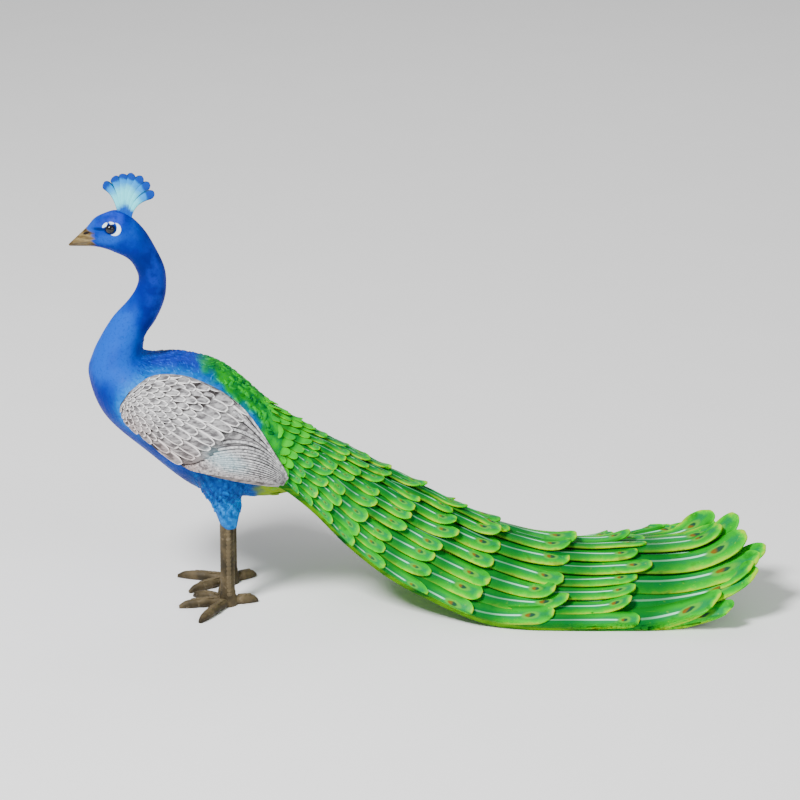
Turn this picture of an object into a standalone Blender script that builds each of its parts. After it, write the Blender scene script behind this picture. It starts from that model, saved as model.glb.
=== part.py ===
"""A peacock figurine, cast in one piece: it faces -X and its train lies along +X.

The origin is on the ground, in the middle of the figurine's box.
"""

import math

import bmesh
import bpy
from mathutils import Vector

# Driving dimensions, in metres
LENGTH = 0.836
BODY_WIDTH = 0.136
TRAIN_SPREAD = 0.250
STANCE = 0.070
SHANK_DIAMETER = 0.017
TOE_DIAMETER = 0.013
MIDDLE_TOE = 0.060
CREST_HEIGHT = 0.051
CREST_THICKNESS = 0.006
EYE_DIAMETER = 0.011
TRAIN_EDGE = 0.008

# The drawing is in millimetres for a bird of this length, and LENGTH scales it
DRAWN_LENGTH = 836
DRAWN_BODY_HALF = 68
DRAWN_TRAIN_HALF = 125
SCALE = LENGTH / DRAWN_LENGTH
BODY_SCALE_Y = BODY_WIDTH / 2 / DRAWN_BODY_HALF
TRAIN_SCALE_Y = TRAIN_SPREAD / 2 / DRAWN_TRAIN_HALF

# Beak to tail: the back's x and z, the throat's or belly's x and z, half the width
BODY_STATIONS = (
    (-418, 447, -417, 445, 1),
    (-397, 467, -395, 445, 8),
    (-387, 479, -383, 444, 13),
    (-376, 485, -371, 441, 17),
    (-361, 489, -362, 437, 19),
    (-345, 482, -353, 433, 19),
    (-329, 466, -345, 427, 18),
    (-317, 446, -339, 417, 17),
    (-305, 419, -336, 405, 16),
    (-303, 397, -340, 391, 16),
    (-306, 377, -350, 376, 18),
    (-316, 354, -367, 357, 22),
    (-328, 336, -381, 335, 26),
    (-333, 321, -393, 310, 34),
    (-330, 310, -398, 284, 43),
    (-312, 307, -380, 237, 59),
    (-282, 309, -331, 191, 67),
    (-237, 295, -265, 140, 66),
    (-189, 253, -192, 131, 54),
    (-140, 204, -140, 141, 34),
    (-116, 186, -119, 151, 18),
)
BODY_SIDES = 16
TRUNK_FIRST = 13
TRUNK_LAST = 19

# Root to tips: the ridge's x and z, the edge's x and z, half the width, how round the cross section is,
# how far the tips' line turns, the far edge's rise, the underside's z
TRAIN_STATIONS = (
    (-210, 266, -210, 180, 40, 1, 0, 0, 184),
    (-176, 241, -192, 166, 47, 1, 0, 0, 166),
    (-140, 217, -165, 155, 50, 1, 0, 0, 146),
    (-92, 187, -130, 127, 57, 0.9, 0, 0, 130),
    (-44, 156, -90, 86, 66, 0.8, 0, 0, 104),
    (5, 127, -42, 49, 78, 0.65, 0, 0, 74),
    (53, 100, 10, 25, 94, 0.5, 0, 0, 46),
    (102, 78, 68, 5, 111, 0.35, 0, 0, 20),
    (151, 62, 124, 0, 122, 0.25, 0, 0, 4),
    (199, 55, 183, 0, 125, 0.2, 2, 5, 0),
    (248, 54, 230, 0, 125, 0.2, 5, 10, 0),
    (297, 53, 266, 1, 125, 0.2, 9, 16, 8),
    (350, 60, 293, 4, 122, 0.25, 16, 20, 30),
    (408, 88, 327, 8, 117, 0.3, 34, 20, 62),
)
RIDGE_ROUNDNESS = 0.25
TIPS_ROUNDNESS = 2.5
TRAIN_ROWS = 11
ROW_GROWTH = 1.22
FEATHERS_ACROSS = 11
FEATHER_STEPS = 4
UNDERSIDE_INSET = 0.985
ROOT_RELIEF = 0.0030
TIP_RELIEF = 0.0085
LEAST_RELIEF = 0.35
FEATHER_NOTCH = 0.42
LONGEST_NOTCH = 0.016

# The wing's upper and lower edges in side view, shoulder to tip
WING_UPPER = ((-347, 281), (-322, 296), (-286, 297), (-250, 284), (-220, 263), (-193, 231), (-160, 176))
WING_LOWER = ((-356, 264), (-352, 247), (-329, 225), (-299, 203), (-259, 182), (-211, 168), (-171, 159))
WING_ROWS = (0.12, 0.24, 0.36, 0.49, 0.63, 1.0)
WING_SCALES = 7
WING_NOTCH = 0.34
QUILLS = 14
QUILL_NOTCH = 0.06
WING_OFFSET = 0.004
WING_RELIEF = 0.004
WING_INSIDE = 0.020

# Top to bottom of the thigh: height, centre x, half length, half width
THIGH_STATIONS = (
    (212, -238, 30, 22),
    (197, -238, 36, 30),
    (165, -238, 32, 29),
    (146, -238, 24, 23),
    (139, -236, 20, 20),
    (124, -233, 16, 16),
    (110, -232, 12, 12),
    (100, -231, 9, 9),
)
SHANK_X = -234
SHANK_TOP = 110
HUB_SPREAD = 1.35
# Each toe: its heading from the bill's direction outwards in degrees, and its share of the middle toe
TOES = ((0, 1.0), (-42, 0.82), (50, 1.12), (182, 0.62))
FOOT_HEADINGS = {-1: 12, 1: -36}

CREST_ROOT = (-352, 484)
CREST_LOBES = 7
CREST_FIRST = -38
CREST_LAST = 62
CREST_NOTCH = 0.13
# Down the fan's rear side and up its front side, in drawn millimetres from its root
CREST_SIDES = ((24, 17), (16, 12), (11, 6), (9, -8), (-9, -8), (-8, 8), (-9, 18), (-14, 26))

EYE_AT = (-367, 471)


def spline(rows, at):
    """A smooth row of numbers between the given rows, at a place counted in rows."""
    last = len(rows) - 1
    first = min(int(at), last - 1)
    f = at - first
    p0, p1, p2, p3 = (rows[min(max(first + step, 0), last)] for step in (-1, 0, 1, 2))
    return [
        0.5 * (2 * b + (c - a) * f + (2 * a - 5 * b + 4 * c - d) * f**2 + (3 * b - a - 3 * c + d) * f**3)
        for a, b, c, d in zip(p0, p1, p2, p3)
    ]


def body_station(at):
    """The back point, the belly point and half the width of the body at this station."""
    back_x, back_z, belly_x, belly_z, half = spline(BODY_STATIONS, at)
    back = Vector((back_x * SCALE, 0, back_z * SCALE))
    belly = Vector((belly_x * SCALE, 0, belly_z * SCALE))
    return back, belly, half * BODY_SCALE_Y


def flank(x, z):
    """The body's half width at this place of its side view."""
    low, high = TRUNK_FIRST, TRUNK_LAST
    place = Vector((x, 0, z))
    for _ in range(24):
        middle = (low + high) / 2
        back, belly, _ = body_station(middle)
        ahead = (back - belly).cross(place - belly).y < 0
        low, high = (low, middle) if ahead else (middle, high)
    back, belly, half = body_station(low)
    axis = (back - belly) / 2
    share = (place - (back + belly) / 2).dot(axis) / axis.length_squared
    return half * math.sqrt(1 - min(abs(share), 0.94) ** 2)


def loft(name, rings, material, end_faces=None):
    """A closed body through rings; end_faces lists the corners of each face that closes its two ends."""
    shape = bmesh.new()
    loops = [[shape.verts.new(point) for point in ring] for ring in rings]
    for near, far in zip(loops, loops[1:]):
        for i in range(len(near)):
            shape.faces.new((near[i - 1], near[i], far[i], far[i - 1]))
    for corners in end_faces or [range(len(rings[0]))]:
        shape.faces.new([loops[0][i] for i in reversed(corners)])
        shape.faces.new([loops[-1][i] for i in corners])
    shape.normal_update()
    bmesh.ops.triangulate(shape, faces=shape.faces[:])
    bmesh.ops.recalc_face_normals(shape, faces=shape.faces[:])
    mesh = bpy.data.meshes.new(name)
    shape.to_mesh(mesh)
    shape.free()
    mesh.materials.append(material)
    piece = bpy.data.objects.new(name, mesh)
    bpy.context.scene.collection.objects.link(piece)
    return piece


def paint(name, colour, roughness):
    """A painted finish."""
    material = bpy.data.materials.new(name)
    material.use_nodes = True
    shader = material.node_tree.nodes["Principled BSDF"]
    shader.inputs["Base Color"].default_value = (*colour, 1)
    shader.inputs["Roughness"].default_value = roughness
    shader.inputs["Metallic"].default_value = 0
    return material


def body(material):
    """Beak, head, neck, trunk and the tail's root, as rings from back to belly."""
    rings = []
    for i in range(2 * len(BODY_STATIONS) - 1):
        back, belly, half = body_station(i / 2)
        ring = []
        for side in range(BODY_SIDES):
            angle = math.tau * side / BODY_SIDES
            middle = (back + belly) / 2 + (back - belly) / 2 * math.cos(angle)
            ring.append(middle + Vector((0, half * math.sin(angle), 0)))
        rings.append(ring)
    return loft("peacock", rings, material)


def train_station(share):
    """The train's drawing at this share of its length along the ridge."""
    start, end = TRAIN_STATIONS[0][0], TRAIN_STATIONS[-1][0]
    x = start + (end - start) * share
    low, high = 0, len(TRAIN_STATIONS) - 1
    for _ in range(24):
        middle = (low + high) / 2
        low, high = (middle, high) if spline(TRAIN_STATIONS, middle)[0] < x else (low, middle)
    return spline(TRAIN_STATIONS, high)


def roof(across):
    """The height of a roof with a round ridge: 1 at the ridge and 0 at the edges."""
    fall = math.hypot(across, RIDGE_ROUNDNESS) - RIDGE_ROUNDNESS
    return 1 - fall / (math.hypot(1, RIDGE_ROUNDNESS) - RIDGE_ROUNDNESS)


def train_section(station, across):
    """The x, the share of half the width and the height share of a place of the train's cross section."""
    ridge_x, _, edge_x, _, _, roundness, turn, _, _ = station
    angle = across * math.pi / 2
    aside = roundness * math.sin(angle) + (1 - roundness) * across
    level = roundness * math.cos(angle) + (1 - roundness) * roof(across)
    x = edge_x + (ridge_x - edge_x) * (1 - abs(aside) ** TIPS_ROUNDNESS) - turn * math.sin(angle)
    return x, aside, level


def train_top(share, across):
    """A point of the train's upper surface; across runs from -1 at one edge to 1 at the other."""
    station = train_station(share)
    _, ridge_z, _, edge_z, half, _, _, far_rise, _ = station
    x, aside, level = train_section(station, across)
    edge_z += TRAIN_EDGE / SCALE
    z = edge_z + (ridge_z - edge_z) * level + far_rise * max(across, 0) ** 2
    return Vector((SCALE * x, TRAIN_SCALE_Y * half * aside, SCALE * z))


def train_underside(share, across):
    """A point of the train's plain underside."""
    station = train_station(share)
    _, _, _, edge_z, half, _, _, far_rise, under_z = station
    x, aside, level = train_section(station, across)
    z = edge_z + (under_z - edge_z) * level + far_rise * max(across, 0) ** 2
    return Vector((SCALE * x, TRAIN_SCALE_Y * half * UNDERSIDE_INSET * aside, SCALE * max(z, 0)))


def train_raised(share, across, height):
    """A point at this height above the train's upper surface."""
    step = 0.01
    along = train_top(share, across) - train_top(share - step, across)
    side = train_top(share, across + step) - train_top(share, across - step)
    return train_top(share, across) + height * along.cross(side).normalized()


def train_rows():
    """The shares of the train's length at which its rows of feathers end."""
    exposures = [ROW_GROWTH**row for row in range(TRAIN_ROWS)]
    return [sum(exposures[:row]) / sum(exposures) for row in range(TRAIN_ROWS + 1)]


def feather_phase(column, row, steps):
    """0 between two feathers and 1 on a feather's middle; each second row is shifted by half a feather."""
    place = (column + row % 2 * steps // 2) % steps
    return 1 - abs(place - steps / 2) / (steps / 2)


def train(material):
    """The train: overlapping rows of feathers above and a plain underside."""
    columns = FEATHERS_ACROSS * FEATHER_STEPS
    ends = train_rows()
    train_length = SCALE * (TRAIN_STATIONS[-1][0] - TRAIN_STATIONS[0][0])

    def ring(row, place, rise, notched, under_share):
        """One line across the upper side, at a share of its row, and back along the underside."""
        exposure = ends[row + 1] - ends[row]
        relief = ROOT_RELIEF + (TIP_RELIEF - ROOT_RELIEF) * ends[row + 1]
        notch = min(FEATHER_NOTCH * exposure, LONGEST_NOTCH / train_length)
        points = []
        for column in range(columns + 1):
            across = 2 * column / columns - 1
            phase = feather_phase(column, row, FEATHER_STEPS)
            share = ends[row] + exposure * place - notch * notched * (1 - phase) ** 3
            crown = LEAST_RELIEF + (1 - LEAST_RELIEF) * phase
            points.append(train_raised(share, across, relief * rise * crown))
        for feather in range(FEATHERS_ACROSS + 1):
            across = 1 - 2 * feather / FEATHERS_ACROSS
            points.append(train_underside(ends[row] + exposure * under_share, across))
        return points

    rings = [ring(0, 0, 0, 0, 0)]
    for row in range(TRAIN_ROWS):
        rings.append(ring(row, 0.45, 0.75, 0.3, 0.33))
        rings.append(ring(row, 1, 1, 1, 0.66))
        rings.append(ring(row, 1, 0.05, 1, 0.96))
    end_faces = []
    for feather in range(FEATHERS_ACROSS):
        first = feather * FEATHER_STEPS
        below = columns + 1 + FEATHERS_ACROSS - feather
        end_faces.append([*range(first, first + FEATHER_STEPS + 1), below - 1, below])
    return loft("train", rings, material, end_faces)


def wing_place(share, down):
    """The side-view place at this share of the wing's length, from 0 at its upper edge to 1 at its lower."""
    upper = spline(WING_UPPER, share * (len(WING_UPPER) - 1))
    lower = spline(WING_LOWER, share * (len(WING_LOWER) - 1))
    return [SCALE * (a + (b - a) * down) for a, b in zip(upper, lower)]


def wing(side, material):
    """One folded wing: rows of scales at the shoulder, then long quills."""
    columns = WING_SCALES * FEATHER_STEPS
    last = len(WING_ROWS) - 1

    def ring(row, part, rise, notched):
        """One line down the wing, at a part of its row, and back up inside the body."""
        start = WING_ROWS[row - 1] if row else 0
        exposure = WING_ROWS[row] - start
        steps = columns // QUILLS if row == last else FEATHER_STEPS
        notch = QUILL_NOTCH if row == last else WING_NOTCH
        points = []
        for column in range(columns + 1):
            phase = feather_phase(column, row, steps)
            share = start + exposure * (part - notched * notch * (1 - phase) ** 3)
            crown = LEAST_RELIEF + (1 - LEAST_RELIEF) * phase
            x, z = wing_place(share, column / columns)
            y = flank(x, z) + WING_OFFSET * (1 + 2 * share) + WING_RELIEF * rise * crown
            points.append(Vector((x, side * y, z)))
        for down in (1, 0):
            x, z = wing_place(start + exposure * part, down)
            points.append(Vector((x, side * WING_INSIDE, z)))
        return points

    rings = [ring(0, 0, 0, 0)]
    for row in range(len(WING_ROWS)):
        rings.append(ring(row, 0.5, 0.8, 0.3))
        rings.append(ring(row, 0.98, 1, 1))
        if row < last:
            rings.append(ring(row, 1, 0.05, 1))
    return loft("wing", rings, material)


def leg(side, blue, brown):
    """Thigh, shank and four toes of one leg."""
    y = side * STANCE / 2
    rings = []
    for z, x, half_length, half_width in THIGH_STATIONS:
        rings.append(oval(Vector((SCALE * x, y, SCALE * z)), SCALE * half_length, SCALE * half_width, 14))
    pieces = [loft("thigh", rings, blue)]
    radius = SHANK_DIAMETER / 2
    heights = ((SHANK_TOP, 1), (60, 0.95), (22, 1), (12, HUB_SPREAD), (0, HUB_SPREAD))
    rings = []
    for z, swell in heights:
        rings.append(oval(Vector((SCALE * SHANK_X, y, SCALE * z)), radius * swell, radius * swell, 12))
    pieces.append(loft("shank", rings, brown))
    for heading, share in TOES:
        pieces.append(toe(Vector((SCALE * SHANK_X, y, 0)), side, heading, share, brown))
    return pieces


def oval(centre, half_length, half_width, sides):
    """A level ring."""
    angles = [math.tau * i / sides for i in range(sides)]
    return [centre + Vector((half_length * math.cos(a), half_width * math.sin(a), 0)) for a in angles]


def toe(hub, side, heading, share, material):
    """A tapering toe with a knuckle and a claw, flat where it meets the ground."""
    turn = math.radians(180 - side * (heading + FOOT_HEADINGS[side]))
    ahead = Vector((math.cos(turn), math.sin(turn), 0))
    aside = Vector((-ahead.y, ahead.x, 0))
    radius = TOE_DIAMETER / 2
    sides = 7
    rings = []
    for along, swell in ((0, 0.95), (0.28, 0.85), (0.5, 1.0), (0.75, 0.75), (0.87, 0.5), (1, 0.2)):
        centre = hub + ahead * (along * share * MIDDLE_TOE) + Vector((0, 0, radius * swell * 0.8))
        ring = []
        for i in range(sides):
            angle = math.tau * (i + 0.5) / sides
            point = centre + radius * swell * (aside * math.cos(angle) + Vector((0, 0, math.sin(angle))))
            point.z = max(point.z, 0)
            ring.append(point)
        rings.append(ring)
    return loft("toe", rings, material)


def crest(material):
    """The fan of plumes on the head: a thin plate with a lobed edge."""
    root = Vector((SCALE * CREST_ROOT[0], 0, SCALE * CREST_ROOT[1]))
    steps = 4 * CREST_LOBES
    outline = []
    for i in range(steps + 1):
        phase = feather_phase(i, 0, 4)
        angle = math.radians(CREST_FIRST + (CREST_LAST - CREST_FIRST) * i / steps)
        reach = CREST_HEIGHT * (1 - CREST_NOTCH * (1 - phase) ** 3)
        outline.append(root + reach * Vector((math.sin(angle), 0, math.cos(angle))))
    outline.extend(root + SCALE * Vector((x, 0, z)) for x, z in CREST_SIDES)
    half = Vector((0, CREST_THICKNESS / 2, 0))
    return loft("crest", [[point - half for point in outline], [point + half for point in outline]], material)


def eye(side, material):
    """One eyeball, half sunk in the head."""
    mesh = bpy.data.meshes.new("eye")
    shape = bmesh.new()
    bmesh.ops.create_uvsphere(shape, u_segments=8, v_segments=5, radius=EYE_DIAMETER / 2)
    shape.to_mesh(mesh)
    shape.free()
    mesh.materials.append(material)
    piece = bpy.data.objects.new("eye", mesh)
    bpy.context.scene.collection.objects.link(piece)
    piece.location = (SCALE * EYE_AT[0], side * SCALE * 14.5, SCALE * EYE_AT[1])
    return piece


def fuse(whole, pieces):
    """Joins the pieces to the whole, as one casting, and keeps them out of the render."""
    joined = bpy.data.collections.new("joined pieces")
    bpy.context.scene.collection.children.link(joined)
    for piece in pieces:
        bpy.context.scene.collection.objects.unlink(piece)
        joined.objects.link(piece)
        piece.hide_render = True
        piece.display_type = "WIRE"
    union = whole.modifiers.new("casting", "BOOLEAN")
    union.operation = "UNION"
    union.operand_type = "COLLECTION"
    union.collection = joined
    union.solver = "EXACT"
    union.material_mode = "TRANSFER"


def main():
    for old in list(bpy.data.objects):
        bpy.data.objects.remove(old)
    blue = paint("royal blue paint", (0.01, 0.09, 0.62), 0.45)
    green = paint("leaf green paint", (0.06, 0.45, 0.03), 0.35)
    grey = paint("silver grey paint", (0.42, 0.39, 0.40), 0.6)
    brown = paint("brown paint", (0.12, 0.07, 0.04), 0.6)
    aqua = paint("pale aqua paint", (0.30, 0.72, 0.80), 0.45)
    black = paint("black gloss paint", (0.01, 0.01, 0.01), 0.1)
    whole = body(blue)
    pieces = [train(green), crest(aqua)]
    for side in (-1, 1):
        pieces.append(wing(side, grey))
        pieces.append(eye(side, black))
        pieces.extend(leg(side, blue, brown))
    fuse(whole, pieces)


main()
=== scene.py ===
"""A painted resin peacock figurine on a pale floor: it faces -X and its train lies along +X."""
import functools
import math
import random

import bpy
import numpy as np
from mathutils import Matrix, Vector


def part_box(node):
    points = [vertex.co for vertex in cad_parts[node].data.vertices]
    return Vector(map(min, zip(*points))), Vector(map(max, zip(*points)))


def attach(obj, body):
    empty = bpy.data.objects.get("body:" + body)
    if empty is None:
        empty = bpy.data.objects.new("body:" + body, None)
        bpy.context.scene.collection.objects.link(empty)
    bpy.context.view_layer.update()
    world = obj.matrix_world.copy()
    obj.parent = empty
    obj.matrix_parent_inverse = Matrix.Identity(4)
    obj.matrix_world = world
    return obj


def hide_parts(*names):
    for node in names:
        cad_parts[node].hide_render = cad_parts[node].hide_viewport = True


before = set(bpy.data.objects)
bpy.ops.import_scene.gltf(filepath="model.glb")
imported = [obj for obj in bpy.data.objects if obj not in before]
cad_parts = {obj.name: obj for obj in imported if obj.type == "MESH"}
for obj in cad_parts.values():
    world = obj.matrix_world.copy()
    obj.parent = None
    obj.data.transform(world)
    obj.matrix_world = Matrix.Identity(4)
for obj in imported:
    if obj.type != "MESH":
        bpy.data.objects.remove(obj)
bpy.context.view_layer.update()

# The casting's drawing is in millimetres, and the peacock's box in model.glb gives the length that it was cast at
DRAWN_LENGTH = 835.2
NOSE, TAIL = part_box("peacock")
MM = (TAIL[0] - NOSE[0]) / DRAWN_LENGTH
NEAR, FAR = -1, 1

# Beak to tail: the back's x and z, the throat's or belly's x and z, half the width
BODY_STATIONS = (
    (-418, 447, -417, 445, 1),
    (-397, 467, -395, 445, 8),
    (-387, 479, -383, 444, 13),
    (-376, 485, -371, 441, 17),
    (-361, 489, -362, 437, 19),
    (-345, 482, -353, 433, 19),
    (-329, 466, -345, 427, 18),
    (-317, 446, -339, 417, 17),
    (-305, 419, -336, 405, 16),
    (-303, 397, -340, 391, 16),
    (-306, 377, -350, 376, 18),
    (-316, 354, -367, 357, 22),
    (-328, 336, -381, 335, 26),
    (-333, 321, -393, 310, 34),
    (-330, 310, -398, 284, 43),
    (-312, 307, -380, 237, 59),
    (-282, 309, -331, 191, 67),
    (-237, 295, -265, 140, 66),
    (-189, 253, -192, 131, 54),
    (-140, 204, -140, 141, 34),
    (-116, 186, -119, 151, 18),
)
TRUNK_FIRST = 13
TRUNK_LAST = 19

# Root to tips: the ridge's x and z, the edge's x and z, half the width, how round the cross section is,
# how far the tips' line turns, the far edge's rise, the underside's z
TRAIN_STATIONS = (
    (-210, 266, -210, 180, 40, 1, 0, 0, 184),
    (-176, 241, -192, 166, 47, 1, 0, 0, 166),
    (-140, 217, -165, 155, 50, 1, 0, 0, 146),
    (-92, 187, -130, 127, 57, 0.9, 0, 0, 130),
    (-44, 156, -90, 86, 66, 0.8, 0, 0, 104),
    (5, 127, -42, 49, 78, 0.65, 0, 0, 74),
    (53, 100, 10, 25, 94, 0.5, 0, 0, 46),
    (102, 78, 68, 5, 111, 0.35, 0, 0, 20),
    (151, 62, 124, 0, 122, 0.25, 0, 0, 4),
    (199, 55, 183, 0, 125, 0.2, 2, 5, 0),
    (248, 54, 230, 0, 125, 0.2, 5, 10, 0),
    (297, 53, 266, 1, 125, 0.2, 9, 16, 8),
    (350, 60, 293, 4, 122, 0.25, 16, 20, 30),
    (408, 88, 327, 8, 117, 0.3, 34, 20, 62),
)
TRAIN_EDGE = 8
RIDGE_ROUNDNESS = 0.25
TIPS_ROUNDNESS = 2.5
UNDERSIDE_INSET = 0.985

# The wing's upper and lower edges in side view, shoulder to tip
WING_UPPER = ((-347, 281), (-322, 296), (-286, 297), (-250, 284), (-220, 263), (-193, 231), (-160, 176))
WING_LOWER = ((-356, 264), (-352, 247), (-329, 225), (-299, 203), (-259, 182), (-211, 168), (-171, 159))
WING_OFFSET = 4

# Top to bottom of the thigh: height, centre x, half length, half width
THIGH_STATIONS = (
    (212, -238, 30, 22),
    (197, -238, 36, 30),
    (165, -238, 32, 29),
    (146, -238, 24, 23),
    (139, -236, 20, 20),
    (124, -233, 16, 16),
    (110, -232, 12, 12),
    (100, -231, 9, 9),
)
STANCE = 70
SHANK_X = -234
SHANK_TOP = 110
SHANK_RADIUS = 8.5
TOE_RADIUS = 6.5
MIDDLE_TOE = 60
TOES = ((0, 1.0), (-42, 0.82), (50, 1.12), (182, 0.62))
FOOT_HEADINGS = {NEAR: 12, FAR: -36}

CREST_ROOT = (-352, 484)
PLUME_TIPS = ((-375, 522), (-363, 530), (-350.5, 533.5), (-339, 533), (-328, 529), (-320, 521), (-315, 510))
EYE_AT = (-367, 471)

# Where the rows of train feathers end, as shares of the train's length
FEATHER_ENDS = (0.040, 0.062, 0.084, 0.106, 0.129, 0.154, 0.193, 0.231, 0.276, 0.335, 0.412, 0.507, 0.638, 0.778, 0.978)

# How far along and across the train its feathers and its base reach, and how far its outer feathers' edges do
FEATHER_SPREAD = 0.94
BASE_REACH = 0.94
BASE_SPREAD = 0.95
OUTER_EDGE = 0.992
EDGE_STEP = 0.0007
EDGE_FOLD = 0.985
LAST_TIP = 0.999
FEATHERS_PER_ROW = (17, 18, 17, 18, 17, 16, 15, 16, 15, 16, 15, 13, 12, 13, 9, 10)
SMALL_ROWS = 6
MIDDLE_ROWS = 11
ROOT_ROWS = 9

# Where the rows of wing feathers end along the wing's upper edge, and how far back the lower end of each lies
WING_ROWS = (0.075, 0.13, 0.183, 0.236, 0.29, 0.344, 0.398, 0.452, 0.506, 0.56, 0.65, 0.75)
WING_SLANT = 0.19
SCALE_ROWS = 10
QUILLS = 18
QUILL_LINES = (
    (-204, 247, -178, 213, -160, 174),
    (-214, 219, -180, 213, -159, 171),
    (-233, 201, -188, 201, -160, 168),
    (-256, 185, -206, 177, -163, 163),
)


# Drawing

def spline(rows, at):
    """A smooth row of numbers between the given rows, at a place counted in rows."""
    last = len(rows) - 1
    first = min(int(at), last - 1)
    f = at - first
    p0, p1, p2, p3 = (rows[min(max(first + step, 0), last)] for step in (-1, 0, 1, 2))
    return [
        0.5 * (2 * b + (c - a) * f + (2 * a - 5 * b + 4 * c - d) * f**2 + (3 * b - a - 3 * c + d) * f**3)
        for a, b, c, d in zip(p0, p1, p2, p3)
    ]


def body_point(at, angle):
    """A place on the skin: the angle is 0 along the back, and a quarter turn is the far flank."""
    back_x, back_z, belly_x, belly_z, half = spline(BODY_STATIONS, at)
    share = (1 + math.cos(angle)) / 2
    x = belly_x + (back_x - belly_x) * share
    z = belly_z + (back_z - belly_z) * share
    return MM * Vector((x, half * math.sin(angle), z))


def flank(x, z):
    """The body's half width at this place of its side view."""
    low, high = TRUNK_FIRST, TRUNK_LAST
    place = Vector((x, 0, z))
    for _ in range(24):
        middle = (low + high) / 2
        back_x, back_z, belly_x, belly_z, _ = spline(BODY_STATIONS, middle)
        back = Vector((back_x, 0, back_z))
        belly = Vector((belly_x, 0, belly_z))
        ahead = (back - belly).cross(place - belly).y < 0
        low, high = (low, middle) if ahead else (middle, high)
    back_x, back_z, belly_x, belly_z, half = spline(BODY_STATIONS, low)
    axis = Vector((back_x - belly_x, 0, back_z - belly_z)) / 2
    centre = Vector((back_x + belly_x, 0, back_z + belly_z)) / 2
    share = (place - centre).dot(axis) / axis.length_squared
    return half * math.sqrt(1 - min(abs(share), 0.94) ** 2)


@functools.lru_cache(maxsize=None)
def train_station(share):
    """The train's drawing at this share of its length along the ridge."""
    start, end = TRAIN_STATIONS[0][0], TRAIN_STATIONS[-1][0]
    x = start + (end - start) * share
    low, high = 0, len(TRAIN_STATIONS) - 1
    for _ in range(24):
        middle = (low + high) / 2
        low, high = (middle, high) if spline(TRAIN_STATIONS, middle)[0] < x else (low, middle)
    return spline(TRAIN_STATIONS, high)


def train_section(station, across):
    """The x, the share of half the width and the height share of a place of the train's cross section."""
    ridge_x, _, edge_x, _, _, roundness, turn, _, _ = station
    angle = across * math.pi / 2
    fall = math.hypot(across, RIDGE_ROUNDNESS) - RIDGE_ROUNDNESS
    roof = 1 - fall / (math.hypot(1, RIDGE_ROUNDNESS) - RIDGE_ROUNDNESS)
    aside = roundness * math.sin(angle) + (1 - roundness) * across
    level = roundness * math.cos(angle) + (1 - roundness) * roof
    x = edge_x + (ridge_x - edge_x) * (1 - abs(aside) ** TIPS_ROUNDNESS) - turn * math.sin(angle)
    return x, aside, level


def train_top(share, across):
    """A point of the train's upper surface; across runs from -1 at the near edge to 1 at the far one."""
    station = train_station(share)
    _, ridge_z, _, edge_z, half, _, _, far_rise, _ = station
    x, aside, level = train_section(station, across)
    edge_z += TRAIN_EDGE
    z = edge_z + (ridge_z - edge_z) * level + far_rise * max(across, 0) ** 2
    return MM * Vector((x, half * aside, z))


def train_underside(share, across):
    """A point of the train's plain underside."""
    station = train_station(share)
    _, _, _, edge_z, half, _, _, far_rise, under_z = station
    x, aside, level = train_section(station, across)
    z = edge_z + (under_z - edge_z) * level + far_rise * max(across, 0) ** 2
    return MM * Vector((x, half * UNDERSIDE_INSET * aside, max(z, 0)))


def wing_point(side):
    """The surface of one wing, from shoulder to tip and from 0 at its upper edge to 1 at its lower."""

    def surface(share, down):
        upper = spline(WING_UPPER, share * (len(WING_UPPER) - 1))
        lower = spline(WING_LOWER, share * (len(WING_LOWER) - 1))
        x, z = (a + (b - a) * down for a, b in zip(upper, lower))
        return MM * Vector((x, side * (flank(x, z) + WING_OFFSET * (1 + 2 * share)), z))

    return surface


class Sheet:
    """A surface sampled on a grid, for feathers to lie on; its directions are along and aside."""

    def __init__(self, surface, along, aside, steps):
        self.first = (along[0], aside[0])
        self.pitch = ((along[1] - along[0]) / steps[0], (aside[1] - aside[0]) / steps[1])
        rows = []
        for i in range(steps[0] + 1):
            place = along[0] + i * self.pitch[0]
            rows.append([surface(place, aside[0] + j * self.pitch[1]) for j in range(steps[1] + 1)])
        self.points = np.array([[tuple(point) for point in row] for row in rows])
        normals = np.cross(np.gradient(self.points, axis=0), np.gradient(self.points, axis=1))
        self.normals = normals / np.maximum(np.linalg.norm(normals, axis=2, keepdims=True), 1e-12)

    def read(self, grid, along, aside):
        """The grid's value at these places, carried on straight past its ends."""
        shares = []
        for values, first, pitch, count in zip((along, aside), self.first, self.pitch, grid.shape):
            place = (np.asarray(values, float) - first) / pitch
            cell = np.clip(np.floor(place), 0, count - 2).astype(int)
            shares.append((cell, (place - cell)[..., None]))
        (i, f), (j, g) = shares
        near = grid[i, j] * (1 - g) + grid[i, j + 1] * g
        far = grid[i + 1, j] * (1 - g) + grid[i + 1, j + 1] * g
        return near * (1 - f) + far * f

    def raised(self, along, aside, height):
        """The points at these heights above the surface."""
        normals = self.read(self.normals, along, aside)
        normals = normals / np.linalg.norm(normals, axis=-1, keepdims=True)
        return self.read(self.points, along, aside) + normals * np.asarray(height)[..., None]


# Bench work

def deselect():
    if bpy.context.object and bpy.context.object.mode != "OBJECT":
        bpy.ops.object.mode_set(mode="OBJECT")
    bpy.ops.object.select_all(action="DESELECT")


def take(piece):
    """Makes this the one selected and active object."""
    deselect()
    piece.select_set(True)
    bpy.context.view_layer.objects.active = piece
    return piece


def named(name):
    """Names the object that was just added."""
    piece = bpy.context.active_object
    piece.name = name
    piece.data.name = name
    return piece


def edit(piece, mode="VERT"):
    take(piece)
    bpy.ops.object.mode_set(mode="EDIT")
    bpy.ops.mesh.select_mode(type=mode)
    bpy.ops.mesh.select_all(action="DESELECT")


def done():
    bpy.ops.object.mode_set(mode="OBJECT")


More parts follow.
